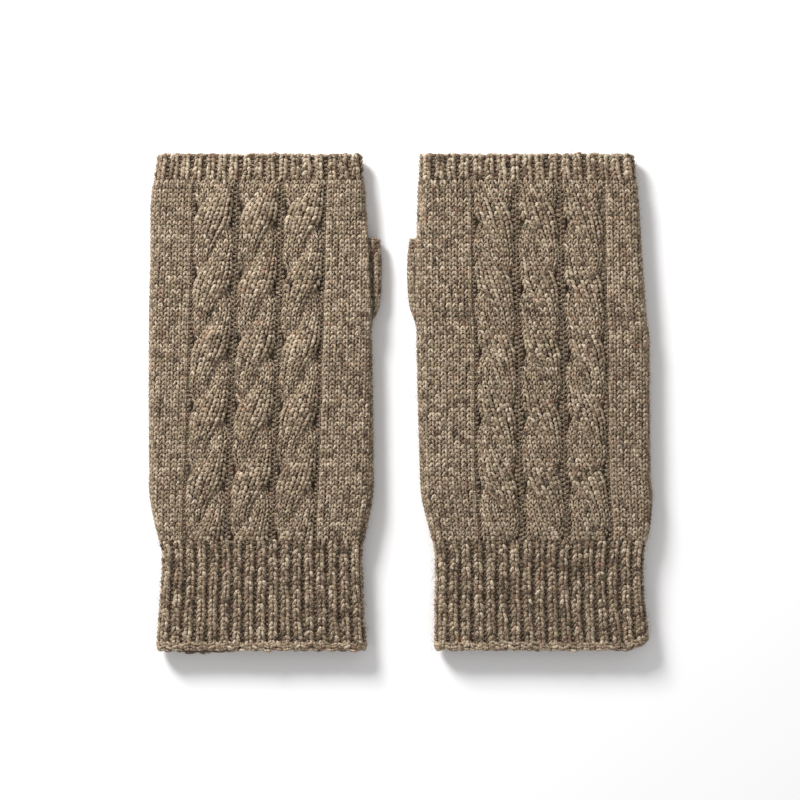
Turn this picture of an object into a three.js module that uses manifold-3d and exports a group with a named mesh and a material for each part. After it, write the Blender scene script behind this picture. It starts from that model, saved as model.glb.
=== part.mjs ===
// A pair of knitted fingerless gloves lying side by side, palms down, fingers' ends towards +Y.
// Each glove is a flattened tube: a cabled back panel over a plain palm panel, with a ribbed wrist at one
// end, a short ribbed band at the other, and a short thumb tube tucked under the edge of the hand.
// Millimetres. +X across the pair, +Y from wrist to fingers, +Z up. The palms lie on Z = 0.

import * as THREE from "three";
import { mergeVertices } from "three/addons/utils/BufferGeometryUtils.js";
import Module from "manifold-3d";

// Driving dimensions: length
const GLOVE_LENGTH = 213.4;
const WRIST_RIB_LENGTH = 47.4;
const FINGER_RIB_LENGTH = 11.6;

// Driving dimensions: width of the flattened tube, before each glove's own factor
const HAND_WIDTH = 97.2;
const FINGER_END_NARROWING = 7.0;
const WRIST_WIDTH = 87.5;
const WRIST_END_FLARE = 3.0;
const SHOULDER_TOP_Y = -36;
const SHOULDER_FOOT_Y = -66;
const FLARE_TOP_Y = -72;

// Driving dimensions: thickness
const KNIT = 2.2;
const HOLLOW = 5.0;
const GAP = 0.3;

// The three cables that stand up from the back panel
const CABLES = 3;
const CABLE_WIDTH = 14.4;
const CABLE_PITCH = 19.2;
const CABLE_RELIEF = 1.3;
const CABLE_POINTS = 6;

// The thumb tube, which starts at its root on the hand and opens towards the fingers
const THUMB_ROOT_Y = 41.4;
const THUMB_END_Y = 70.6;
const THUMB_RIB_LENGTH = 6.4;
const THUMB_HEIGHT = 7.0;
const THUMB_KNIT = 1.3;
const THUMB_UNDER_HAND = 9.0;
const THUMB_BULGE = 0.8;
const GUSSET_FOOT_Y = 33;
const GUSSET_LID = 6.0;
const THUMB_WAY_OUT_Y = 97;

// The linked seam inside the little finger's edge
const SEAM_RADIUS = 1.1;

// How finely the sections follow the outline
const ROW = 5.5;
const ARC_POINTS = 7;
const SEAM_SIDES = 8;

// Each glove's own place, lean and stretch; thumb is +1 where the thumb points to +X
const GLOVES = [
  { name: "left", thumb: 1, x: -59.1, lean: -0.0089, stretch: 0.988, reach: 4.8, cables: [-2.7, 0.038] },
  { name: "right", thumb: -1, x: 57.6, lean: -0.0292, stretch: 1.012, reach: 4.0, cables: [3.1, 0.012] },
];

const HEIGHT = 2 * KNIT + HOLLOW;
const OUTER_R = HEIGHT / 2;
const INNER_R = HOLLOW / 2;
const FLAT = HAND_WIDTH / 2 - OUTER_R;
const FINGER_END_Y = GLOVE_LENGTH / 2;
const HAND_TOP_Y = FINGER_END_Y - FINGER_RIB_LENGTH;
const WRIST_END_Y = -GLOVE_LENGTH / 2;
const WRIST_LINE_Y = WRIST_END_Y + WRIST_RIB_LENGTH;
const THUMB_RIB_Y = THUMB_END_Y - THUMB_RIB_LENGTH;

const wasm = await Module();
wasm.setup();

// ---------------------------------------------------------------- outline

// Width of the flattened tube at a place along the glove.
function widthAt(y) {
  const towardsFingers = FINGER_END_NARROWING * Math.max(0, y / FINGER_END_Y) ** 2;
  const shoulder = 1 - THREE.MathUtils.smoothstep(y, SHOULDER_FOOT_Y, SHOULDER_TOP_Y);
  const flare = Math.max(0, (FLARE_TOP_Y - y) / (FLARE_TOP_Y - WRIST_END_Y));
  return HAND_WIDTH - towardsFingers - shoulder * (HAND_WIDTH - WRIST_WIDTH) + flare * WRIST_END_FLARE;
}

function centreAt(glove, y) {
  return glove.x + glove.lean * y;
}

function halfWidthAt(glove, y) {
  return (glove.stretch * widthAt(y)) / 2;
}

// X of the hand's edge on the thumb's side.
function thumbEdgeAt(glove, y) {
  return centreAt(glove, y) + glove.thumb * halfWidthAt(glove, y);
}

// ---------------------------------------------------------------- solids from sections

// Extrudes a section, drawn in X and Z, from y1 back to y0, and bends it with place(x, y).
function knit(shape, y0, y1, place) {
  const steps = Math.max(1, Math.round((y1 - y0) / ROW));
  const geometry = new THREE.ExtrudeGeometry(shape, { depth: y1 - y0, steps, bevelEnabled: false });
  const p = geometry.getAttribute("position");
  for (let i = 0; i < p.count; i++) {
    const y = y1 - p.getZ(i);
    const z = p.getY(i);
    p.setXYZ(i, place(p.getX(i), y), y, z);
  }
  return closed(geometry);
}

// Keeps only the positions, with equal corners shared.
function closed(geometry) {
  geometry.deleteAttribute("normal");
  geometry.deleteAttribute("uv");
  return mergeVertices(geometry, 1e-4);
}

// Fits a section of nominal width to the glove's outline: its flat middle stretches and its round sides don't.
// The cables, in the middle, wander a little across the back as the real ones do.
function fitToHand(glove) {
  return (x, y) => {
    const flat = halfWidthAt(glove, y) - OUTER_R;
    const side = Math.abs(x) > FLAT ? x - Math.sign(x) * FLAT : 0;
    const across = THREE.MathUtils.clamp(x / FLAT, -1, 1);
    const wander = (glove.cables[0] + glove.cables[1] * y) * (1 - across * across);
    return centreAt(glove, y) + across * flat + side + wander;
  };
}

function arc(points, x, z, radius, from, to) {
  for (let i = 0; i < ARC_POINTS; i++) {
    const angle = THREE.MathUtils.lerp(from, to, i / (ARC_POINTS - 1));
    points.push(new THREE.Vector2(x + radius * Math.cos(angle), z + radius * Math.sin(angle)));
  }
}

// A closed loop with half-round sides, as wide as two half widths and resting on z.
function stadium(halfWidth, radius, z) {
  const points = [];
  const straight = halfWidth - radius;
  arc(points, straight, z + radius, radius, -Math.PI / 2, Math.PI / 2);
  arc(points, -straight, z + radius, radius, Math.PI / 2, (3 * Math.PI) / 2);
  return points;
}

function tubeSection(halfWidth, height, wall) {
  const section = new THREE.Shape(stadium(halfWidth, height / 2, 0));
  section.holes.push(new THREE.Path(stadium(halfWidth - wall, height / 2 - wall, wall)));
  return section;
}

// ---------------------------------------------------------------- boolean cut

function solid(geometry) {
  const vertProperties = new Float32Array(geometry.getAttribute("position").array);
  const triVerts = new Uint32Array(geometry.index.array);
  return new wasm.Manifold(new wasm.Mesh({ numProp: 3, vertProperties, triVerts }));
}

function cut(geometry, tool) {
  const mesh = solid(geometry).subtract(solid(tool)).getMesh();
  const result = new THREE.BufferGeometry();
  result.setAttribute("position", new THREE.BufferAttribute(mesh.vertProperties, 3));
  result.setIndex(new THREE.BufferAttribute(mesh.triVerts, 1));
  return result;
}

// The room that the thumb tube and its gusset lie in: a notch in the palm under the edge of the back, which
// widens towards the fingers so that a thumb has a clear way out of its tube.
function thumbRoom(glove) {
  const inner = (y) => thumbEdgeAt(glove, y) - glove.thumb * (THUMB_UNDER_HAND + GAP);
  const outer = (y) => thumbEdgeAt(glove, y) + glove.thumb * HEIGHT;
  const foot = GUSSET_FOOT_Y - GAP;
  const plan = new THREE.Shape([
    new THREE.Vector2(outer(foot), foot),
    new THREE.Vector2(outer(foot), THUMB_WAY_OUT_Y),
    new THREE.Vector2(thumbEdgeAt(glove, THUMB_WAY_OUT_Y), THUMB_WAY_OUT_Y),
    new THREE.Vector2(inner(THUMB_END_Y), THUMB_END_Y + GAP),
    new THREE.Vector2(inner(foot), foot),
  ]);
  const room = new THREE.ExtrudeGeometry(plan, { depth: THUMB_HEIGHT + GAP + 1, bevelEnabled: false });
  room.translate(0, 0, -1);
  return closed(room);
}

// ---------------------------------------------------------------- the pieces of one glove

// Upper half of the hand's tube, with the cables standing up from it.
function backPanel(glove) {
  const points = [];
  const middle = OUTER_R;
  arc(points, FLAT, middle, OUTER_R, Math.asin(GAP / 2 / OUTER_R), Math.PI / 2);
  for (let c = CABLES - 1; c >= 0; c--) {
    const centre = (c - (CABLES - 1) / 2) * CABLE_PITCH;
    for (let i = 0; i <= CABLE_POINTS; i++) {
      const across = i / CABLE_POINTS;
      const rise = CABLE_RELIEF * Math.sin(Math.PI * across) ** 0.7;
      points.push(new THREE.Vector2(centre + (0.5 - across) * CABLE_WIDTH, HEIGHT + rise));
    }
  }
  arc(points, -FLAT, middle, OUTER_R, Math.PI / 2, Math.PI - Math.asin(GAP / 2 / OUTER_R));
  arc(points, -FLAT, middle, INNER_R, Math.PI - Math.asin(GAP / 2 / INNER_R), Math.PI / 2);
  arc(points, FLAT, middle, INNER_R, Math.PI / 2, Math.asin(GAP / 2 / INNER_R));
  const section = new THREE.Shape(points);
  const panel = knit(section, WRIST_LINE_Y + GAP / 2, HAND_TOP_Y - GAP / 2, fitToHand(glove));
  return cut(panel, thumbRoom(glove));
}

// Lower half of the hand's tube, flat where it rests.
function palmPanel(glove) {
  const points = [];
  const middle = OUTER_R;
  arc(points, FLAT, middle, OUTER_R, -Math.PI / 2, -Math.asin(GAP / 2 / OUTER_R));
  arc(points, FLAT, middle, INNER_R, -Math.asin(GAP / 2 / INNER_R), -Math.PI / 2);
  arc(points, -FLAT, middle, INNER_R, -Math.PI / 2, Math.asin(GAP / 2 / INNER_R) - Math.PI);
  arc(points, -FLAT, middle, OUTER_R, Math.asin(GAP / 2 / OUTER_R) - Math.PI, -Math.PI / 2);
  const section = new THREE.Shape(points);
  const panel = knit(section, WRIST_LINE_Y + GAP / 2, HAND_TOP_Y - GAP / 2, fitToHand(glove));
  return cut(panel, thumbRoom(glove));
}

// A ribbed band all the way round: the wrist's, or the short one at the fingers.
function ribBand(glove, y0, y1) {
  return knit(tubeSection(HAND_WIDTH / 2, HEIGHT, KNIT), y0, y1, fitToHand(glove));
}

// The linking yarn of the side seam, a cord just inside the little finger's edge.
function seam(glove, y0, y1) {
  const x = -glove.thumb * (FLAT + INNER_R - GAP - SEAM_RADIUS);
  const section = new THREE.Shape();
  for (let i = 0; i < SEAM_SIDES; i++) {
    const angle = (2 * Math.PI * i) / SEAM_SIDES;
    const at = [x + SEAM_RADIUS * Math.cos(angle), OUTER_R + SEAM_RADIUS * Math.sin(angle)];
    if (i === 0) section.moveTo(...at);
    else section.lineTo(...at);
  }
  section.closePath();
  return knit(section, y0, y1, fitToHand(glove));
}

const thumbWidth = (glove) => glove.reach + THUMB_UNDER_HAND;

// The thumb tube bulges a little half way along and keeps its inner side straight along the palm's notch.
function fitToThumb(glove) {
  const middleY = (THUMB_ROOT_Y + THUMB_END_Y) / 2;
  const reachY = THUMB_END_Y - middleY;
  return (x, y) => {
    const outward = 0.5 + (glove.thumb * x) / thumbWidth(glove);
    const slack = THUMB_BULGE * ((y - middleY) / reachY) ** 2 * outward;
    const inner = thumbEdgeAt(glove, THUMB_ROOT_Y) - glove.thumb * THUMB_UNDER_HAND;
    return inner + glove.thumb * (thumbWidth(glove) / 2 - slack) + x;
  };
}

function thumbBand(glove, y0, y1) {
  return knit(tubeSection(thumbWidth(glove) / 2, THUMB_HEIGHT, THUMB_KNIT), y0, y1, fitToThumb(glove));
}

// A scoop that leads from the palm into the thumb tube. It is open to the hand, and its short lid slips under
// the edge of the back.
function thumbGusset(glove) {
  const half = thumbWidth(glove) / 2;
  const radius = THUMB_HEIGHT / 2;
  const hollow = radius - THUMB_KNIT;
  const points = [new THREE.Vector2(-half, 0)];
  arc(points, half - radius, radius, radius, -Math.PI / 2, Math.PI / 2);
  points.push(new THREE.Vector2(half - radius - GUSSET_LID, THUMB_HEIGHT));
  points.push(new THREE.Vector2(half - radius - GUSSET_LID, THUMB_HEIGHT - THUMB_KNIT));
  arc(points, half - radius, radius, hollow, Math.PI / 2, -Math.PI / 2);
  points.push(new THREE.Vector2(-half, THUMB_KNIT));
  const section = new THREE.Shape(points.map((point) => new THREE.Vector2(glove.thumb * point.x, point.y)));
  const thumb = fitToThumb(glove);
  const top = THUMB_ROOT_Y - GAP;
  return knit(section, GUSSET_FOOT_Y, top, (x, y) => {
    const outward = 0.5 + (glove.thumb * x) / thumbWidth(glove);
    const grown = THREE.MathUtils.smoothstep(y, GUSSET_FOOT_Y - ROW, top);
    return thumb(x, top) - glove.thumb * outward * (1 - grown) * glove.reach;
  });
}

// ---------------------------------------------------------------- the pair

const WOOL = { color: 0x80705f, roughness: 0.95, metalness: 0 };
const RIB_WOOL = { color: 0x736453, roughness: 0.95, metalness: 0 };
const SEAM_YARN = { color: 0x665848, roughness: 0.9, metalness: 0 };

function piece(name, geometry, finish) {
  const mesh = new THREE.Mesh(geometry, new THREE.MeshStandardMaterial(finish));
  mesh.name = name;
  return mesh;
}

function makeGlove(glove) {
  const group = new THREE.Group();
  const half = GAP / 2;
  const add = (name, geometry, finish) => group.add(piece(`${glove.name}_${name}`, geometry, finish));
  add("back_panel", backPanel(glove), WOOL);
  add("palm_panel", palmPanel(glove), WOOL);
  add("side_seam", seam(glove, WRIST_LINE_Y + half, FINGER_END_Y - KNIT), SEAM_YARN);
  add("finger_rib", ribBand(glove, HAND_TOP_Y + half, FINGER_END_Y), RIB_WOOL);
  add("wrist_rib", ribBand(glove, WRIST_END_Y, WRIST_LINE_Y - half), RIB_WOOL);
  add("wrist_seam", seam(glove, WRIST_END_Y + KNIT, WRIST_LINE_Y - half), SEAM_YARN);
  add("thumb_gusset", thumbGusset(glove), WOOL);
  add("thumb_tube", thumbBand(glove, THUMB_ROOT_Y, THUMB_RIB_Y - half), WOOL);
  add("thumb_rib", thumbBand(glove, THUMB_RIB_Y + half, THUMB_END_Y), RIB_WOOL);
  return group;
}

// The pair is set so that the origin is at the middle of its outline, on the surface that it lies on.
const pair = new THREE.Group();
GLOVES.forEach((glove) => pair.add(makeGlove(glove)));
const outline = new THREE.Box3().setFromObject(pair);
pair.position.x = -(outline.min.x + outline.max.x) / 2;

export default pair;
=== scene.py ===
# %% [markdown]
# # A pair of cable-knit fingerless gloves
# Each glove is one soft tube of knitting that lies flat on its palm side. It has a short rib
# at the fingers, three cables down the back of the hand, a long rib at the wrist and a small
# thumb tube. Real knitting is one yarn bent into rows of loops, so this lesson builds the
# loops themselves: a short length of yarn is laid thousands of times by Geometry Nodes,
# along guide points that are worked out from the CAD frame.

import math

import bmesh
import bpy
import numpy as np
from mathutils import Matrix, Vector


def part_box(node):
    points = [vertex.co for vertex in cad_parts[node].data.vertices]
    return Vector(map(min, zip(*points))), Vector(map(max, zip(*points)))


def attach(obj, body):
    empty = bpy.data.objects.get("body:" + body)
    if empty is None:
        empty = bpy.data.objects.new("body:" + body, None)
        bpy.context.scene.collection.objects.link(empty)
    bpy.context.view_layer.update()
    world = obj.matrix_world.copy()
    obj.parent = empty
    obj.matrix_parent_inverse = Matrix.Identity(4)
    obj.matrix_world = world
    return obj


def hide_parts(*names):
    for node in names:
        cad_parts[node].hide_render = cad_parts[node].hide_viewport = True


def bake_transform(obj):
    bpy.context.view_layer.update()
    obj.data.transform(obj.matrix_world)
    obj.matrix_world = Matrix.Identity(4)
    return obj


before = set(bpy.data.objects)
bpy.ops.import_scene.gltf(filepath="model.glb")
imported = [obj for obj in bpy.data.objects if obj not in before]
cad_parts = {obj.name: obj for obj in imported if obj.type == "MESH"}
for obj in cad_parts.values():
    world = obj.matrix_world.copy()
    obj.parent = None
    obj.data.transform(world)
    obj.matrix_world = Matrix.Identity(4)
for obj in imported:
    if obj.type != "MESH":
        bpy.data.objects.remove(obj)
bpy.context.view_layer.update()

# %% [markdown]
# ## Units and chance
# The knitting is planned in millimetres and turned into metres when a mesh is made. Wool is
# never quite even, so small random shifts come from one generator with a fixed seed.

# %% Units and a seeded generator
MM = 0.001
chance = np.random.default_rng(29)
print("first draw:", round(float(chance.random()), 4))

# %% [markdown]
# ## Floor, light and camera
# The gloves lie on white paper under a studio light from the upper left, with a soft white
# room around them. A long lens straight above keeps the edges of the gloves upright.

# %% Camera above the pair
VIEW_WIDTH = 344 * MM
LENS = 85
SENSOR = 36
MIDDLE_OF_WOOL = 5 * MM
# The camera looks straight down at this place between the gloves
AIM = (0.3 * MM, 0.9 * MM)

scene = bpy.context.scene
scene.view_settings.view_transform = "Standard"
camera = bpy.data.objects.new("camera", bpy.data.cameras.new("camera"))
camera.data.lens = LENS
camera.data.sensor_width = SENSOR
camera.location = (*AIM, MIDDLE_OF_WOOL + VIEW_WIDTH * LENS / SENSOR)
scene.collection.objects.link(camera)
scene.camera = camera
print("camera height in m:", round(camera.location.z, 3))

# %% Colour and node helpers


def linear(hex_colour):
    """An sRGB hex colour as the linear colour that Blender's sockets hold."""
    parts = [int(hex_colour[i : i + 2], 16) / 255 for i in (1, 3, 5)]
    return [p / 12.92 if p <= 0.04045 else ((p + 0.055) / 1.055) ** 2.4 for p in parts] + [1.0]


def add_node(tree, kind, values=None, links=None, **settings):
    """Adds a node with its settings, the values of its sockets and the links into it."""
    made = tree.nodes.new(kind)
    for name, value in settings.items():
        setattr(made, name, value)
    for socket, value in (values or {}).items():
        made.inputs[socket].default_value = value
    for socket, source in (links or {}).items():
        tree.links.new(source, made.inputs[socket])
    return made


print("linear mid taupe:", [round(c, 3) for c in linear("#80705f")])

# %% Paper floor
FLOOR_HALF = 2.5
# The paper lies just under the lowest yarn
FLOOR_Z = -0.45 * MM

# Matt white with a faint grain, so that the eye reads a plain surface and a soft shadow
paper = bpy.data.materials.new("white studio paper")
paper.use_nodes = True
tree = paper.node_tree
tree.nodes.clear()
place_on_paper = add_node(tree, "ShaderNodeTexCoord")
paper_grain = add_node(
    tree,
    "ShaderNodeTexNoise",
    {"Scale": 900.0, "Detail": 3.0},
    {"Vector": place_on_paper.outputs["Object"]},
)
paper_bump = add_node(
    tree,
    "ShaderNodeBump",
    {"Strength": 0.05, "Distance": 0.0001},
    {"Height": paper_grain.outputs["Fac"]},
)
paper_shader = add_node(
    tree,
    "ShaderNodeBsdfPrincipled",
    {"Base Color": linear("#f8f7f7"), "Roughness": 0.9, "Specular IOR Level": 0.2},
    {"Normal": paper_bump.outputs["Normal"]},
)
add_node(tree, "ShaderNodeOutputMaterial", links={"Surface": paper_shader.outputs["BSDF"]})

floor_mesh = bpy.data.meshes.new("paper_floor")
around = ((-1, -1), (1, -1), (1, 1), (-1, 1))
floor_corners = [(x * FLOOR_HALF, y * FLOOR_HALF, FLOOR_Z) for x, y in around]
floor_mesh.from_pydata(floor_corners, [], [(0, 1, 2, 3)])
floor = bpy.data.objects.new("paper_floor", floor_mesh)
floor.data.materials.append(paper)
scene.collection.objects.link(floor)
print("floor is", 2 * FLOOR_HALF, "m across")

# %% Studio light
# Place and size of the light in metres
KEY_FROM = (-0.57, 0.76, 0.55)
KEY_SIZE = 0.33
KEY_WATTS = 18.4
ROOM_LIGHT = 0.56

world = bpy.data.worlds.new("white room")
world.use_nodes = True
world.node_tree.nodes["Background"].inputs["Color"].default_value = linear("#ffffff")
world.node_tree.nodes["Background"].inputs["Strength"].default_value = ROOM_LIGHT
scene.world = world
key = bpy.data.objects.new("key light", bpy.data.lights.new("key light", "AREA"))
key.data.size = KEY_SIZE
key.data.energy = KEY_WATTS
key.location = KEY_FROM
key.rotation_mode = "QUATERNION"
key.rotation_quaternion = (-key.location).to_track_quat("-Z", "Y")
scene.collection.objects.link(key)
print("key light stands", round(key.location.length, 2), "m away")

# %% [markdown]
# ## Where the wool lies
# The CAD nodes carry their place in their meshes. The rows of corners give the outline of
# each tube. The knitting follows the middle of the yarn, which lies half a yarn inside the
# top and the bottom of the tube, and a quarter inside its soft sides.

# %% Outline of a tube from the rows of its CAD nodes
YARN = 1.3
# A row of corners narrower than this isn't the full width of a hand, a thumb or a seam, in mm
HAND_LEAST = 60
THUMB_LEAST = 5
SEAM_LEAST = 0.5


def corners(*nodes):
    """Every corner of these CAD nodes, in mm."""
    found = [np.array([v.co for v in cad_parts[n].data.vertices]) / MM for n in nodes]
    return np.concatenate(found)


def rows(points, least_width):
    """Height, least x and greatest x of each full row of corners."""
    heights = np.round(points[:, 1], 1)
    found = []
    for y in np.unique(heights):
        row = points[heights == y, 0]
        if row.max() - row.min() >= least_width:
            found.append((y, row.min(), row.max()))
    return np.array(found)


print("rows in the left wrist rib:", len(rows(corners("left_wrist_rib"), HAND_LEAST)))

# %% A flattened tube
# The deepest that yarn may sink, as a share of the tube's radius
DEEPEST = 0.85


class Tube:
    """A knitted tube lying flat: its middle line, its half width and its two layers, in mm."""

    def __init__(self, y, centre, half, low, high):
        self.y, self.centre, self.half_width = y, centre, half - YARN / 4
        self.low, self.high = low + YARN / 2, high - YARN / 2
        self.room = self.sag = None

    def read(self, values, y):
        return np.interp(y, self.y, np.broadcast_to(values, self.y.shape))

    def around(self, y):
        """Length round the tube at height y."""
        radius = (self.read(self.high, y) - self.read(self.low, y)) / 2
        return 4 * (self.read(self.half_width, y) - radius) + 2 * math.pi * radius

    def at(self, s, y, lift=0.0):
        """The point s mm round from the top middle at height y, and the way out of the wool."""
        s, y, lift = np.broadcast_arrays(np.asarray(s, float), y, lift)
        low, high = self.read(self.low, y), self.read(self.high, y)
        radius = (high - low) / 2
        flat = self.read(self.half_width, y) - radius
        whole = 4 * flat + 2 * math.pi * radius
        s = (s + whole / 2) % whole - whole / 2
        side, far = np.where(s < 0, -1.0, 1.0), np.abs(s)
        turn = np.clip((far - flat) / radius, 0, math.pi)
        below = np.clip(far - flat - math.pi * radius, 0, None)
        out = np.stack([side * np.sin(turn), 0 * y, np.cos(turn)], -1)
        rise = np.maximum(lift, -DEEPEST * radius)
        across = side * (np.minimum(far, flat) - below)
        x = self.read(self.centre, y) + across + side * (radius + rise) * np.sin(turn)
        z = (low + high) / 2 + (radius + rise) * np.cos(turn)
        if self.room is not None:
            z = self.squeeze(x, y, z, low, high)
        if self.sag is not None:
            y = y - self.sag(2 * s / whole, y)
        return np.stack([x, y, z], -1), out

    def squeeze(self, x, y, z, low, high):
        """Presses the palm layer up where the thumb lies under it."""
        floor_z = low + self.room(x, y)
        inside = floor_z + (z - low) * (high - floor_z) / (high - low)
        return np.where(z > high, z, np.where(z < low, z + floor_z - low, inside))


def step(value, start, end):
    """0 before start, 1 after end, and smooth between."""
    t = np.clip((value - start) / (end - start), 0, 1)
    return t * t * (3 - 2 * t)


print("yarn is", YARN, "mm thick")

# %% Heights read from the frame
# The CAD pieces keep a gap between them, and the knitting runs on across it
HALF_GAP = 0.15
WRIST_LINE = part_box("left_back_panel")[0].y / MM - HALF_GAP
HAND_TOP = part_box("left_back_panel")[1].y / MM + HALF_GAP
FINGER_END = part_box("left_finger_rib")[1].y / MM
WRIST_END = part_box("left_wrist_rib")[0].y / MM
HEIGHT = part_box("left_wrist_rib")[1].z / MM
THUMB_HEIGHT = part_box("left_thumb_tube")[1].z / MM
THUMB_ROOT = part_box("left_thumb_tube")[0].y / MM
THUMB_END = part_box("left_thumb_rib")[1].y / MM
THUMB_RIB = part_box("left_thumb_rib")[0].y / MM
GUSSET_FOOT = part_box("left_thumb_gusset")[0].y / MM
print("hand from", round(WRIST_LINE, 1), "to", round(HAND_TOP, 1), "mm")

# %% Hand tubes
# How far the soft little-finger edge lies beyond its pattern, by height, in mm
EDGE_EASE = {
    "left": (
        *((-106, 1.6), (-85, 0.9), (-66, 0.2), (-54, 0.9), (-30, 0.3)),
        *((60, 0.1), (87, 0.9), (105, -0.7)),
    ),
    "right": (
        *((-106, 1.6), (-85, 1.0), (-67, 1.9), (-54, 3.0), (-32, 0.6)),
        *((0, 1.2), (30, 2.2), (42, 0.6), (88, 1.4), (105, 1.2)),
    ),
}
# How far the hem moves, and over how much of the cuff the move fades out
HEM_SAG = 1.9
SAG_FADE = 16
CORNER_RISE = 5.2
CORNER_WIDTH = 0.13
RISE_FADE = 30
# Half of the width in which the middle cable is looked for
MIDDLE_CABLE = 9


def hem_sag(turn, y):
    """The palm layer's hem hangs a little below the back near the little-finger corner.

    turn: how far round the tube, from 0 at the top middle to 1 or -1 at the bottom middle.
    """
    starts, ends = step(-turn, 0.52, 0.66), 1 - step(-turn, 0.8, 0.97)
    return HEM_SAG * starts * ends * step(-y, -WRIST_END - SAG_FADE, -WRIST_END)


def corner_rise(turn, y):
    """The little-finger corner of the hem is drawn up, more and more towards the edge."""
    near = np.clip(1 - np.abs(turn - 0.5) / CORNER_WIDTH, 0, 1)
    return -CORNER_RISE * near**1.4 * step(-y, -WRIST_END - RISE_FADE, -WRIST_END)


def make_hand(name, thumb_side):
    """The hand's tube, with the way its pattern wanders from the middle line."""
    ribs = rows(corners(name + "_wrist_rib", name + "_finger_rib"), HAND_LEAST)
    lean = np.polyfit(ribs[:, 0], (ribs[:, 1] + ribs[:, 2]) / 2, 1)
    panel = corners(name + "_back_panel")
    outline = np.concatenate([rows(panel, HAND_LEAST), ribs])
    outline = outline[np.argsort(outline[:, 0])]
    edge = outline[:, 1] if thumb_side > 0 else outline[:, 2]
    centre = np.polyval(lean, outline[:, 0])
    ease = np.interp(outline[:, 0], *np.array(EDGE_EASE[name]).T) / 2
    hand = Tube(outline[:, 0], centre - thumb_side * ease, np.abs(edge - centre) + ease, 0.0, HEIGHT)
    hand.name, hand.thumb_side = name, thumb_side
    crest = panel[panel[:, 2] > panel[:, 2].max() - 0.01]
    near = crest[np.abs(crest[:, 0] - np.polyval(lean, crest[:, 1])) < MIDDLE_CABLE]
    hand.wander = np.polyfit(near[:, 1], near[:, 0] - np.polyval(lean, near[:, 1]), 1)
    hand.sag = hem_sag if thumb_side > 0 else corner_rise
    return hand


hands = [make_hand("left", 1), make_hand("right", -1)]
for hand in hands:
    print(hand.name, "wander", hand.wander.round(3), "half width", hand.half_width.max().round(1))

# %% [markdown]
# ## The thumb
# The thumb tube is knitted on at the side of the hand and lies under its edge, so that only
# a few millimetres show from above. The palm layer is pressed up over it.

# %% Thumb tubes and the room they take under the hand
CROTCH = GUSSET_FOOT - 7
# How far the inner and the outer side draw in at the crotch, and how much flatter it is there
CROTCH_INNER = 2.0
CROTCH_OUTER = 0.5
CROTCH_FLATTER = 5.3
# The share by which the thumb is held in below its root, where it leaves the hand
HELD_IN = 0.65


def make_thumb(hand):
    """The thumb's tube, from the crotch where it leaves the hand to its open end."""
    parts = [hand.name + "_thumb_" + part for part in ("gusset", "tube", "rib")]
    found = rows(corners(*parts), THUMB_LEAST)
    first = found[0].copy()
    first[0] = CROTCH
    if hand.thumb_side > 0:
        first[1:] += np.array([CROTCH_INNER, -CROTCH_OUTER])
    else:
        first[1:] += np.array([CROTCH_OUTER, -CROTCH_INNER])
    found = np.concatenate([[first], found])
    y, left, right = found.T
    edge = hand.read(hand.centre, y) + hand.thumb_side * hand.read(hand.half_width, y)
    tight = 1 - HELD_IN * (1 - step(y, THUMB_ROOT - 8, THUMB_ROOT + 1))
    if hand.thumb_side > 0:
        right = np.where(right > edge, edge + (right - edge) * tight, right)
    else:
        left = np.where(left < edge, edge + (left - edge) * tight, left)
    high = THUMB_HEIGHT - CROTCH_FLATTER * (1 - step(y, CROTCH, THUMB_ROOT))
    thumb = Tube(y, (left + right) / 2, (right - left) / 2, 0.0, high)
    inner = left.min() if hand.thumb_side > 0 else right.max()
    side = hand.thumb_side

    def room(x, y):
        over = step(side * (x - inner), -4.5, 0.5)
        starts, ends = step(y, CROTCH, GUSSET_FOOT + 4), 1 - step(y, THUMB_END + 1, THUMB_END + 9)
        return THUMB_HEIGHT * over * starts * ends

    hand.room = room
    return thumb


thumbs = [make_thumb(hand) for hand in hands]
for thumb in thumbs:
    print("thumb goes round in", round(float(thumb.around(THUMB_RIB)), 1), "mm")

# %% [markdown]
# ## One stitch
# On the face of the fabric a knit stitch shows two slanting legs, and a purl stitch shows a
# short bar. Each is one piece of yarn, thick in its middle, that dives into the fabric at
# both ends. So one low-poly lump of yarn serves for all of them: it is one unit long, wide
# and deep, and each guide point says how far to stretch and turn it. The palm, the gutters
# and the seams show less, and take a lump with fewer sides.

# %% Mesh helpers


def face_outwards(mesh):
    """Turns every face of a closed mesh outwards."""
    shape = bmesh.new()
    shape.from_mesh(mesh)
    bmesh.ops.recalc_face_normals(shape, faces=shape.faces)
    shape.to_mesh(mesh)
    shape.free()


def write_points(mesh, name, values):
    """Stores a number or a vector for every point of a mesh."""
    values = np.asarray(values, np.float32)
    kind, field = ("FLOAT", "value") if values.ndim == 1 else ("FLOAT_VECTOR", "vector")
    mesh.attributes.new(name, kind, "POINT").data.foreach_set(field, values.ravel())


print("mesh helpers ready")

# %% The lump of yarn and the loose fibre


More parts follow.
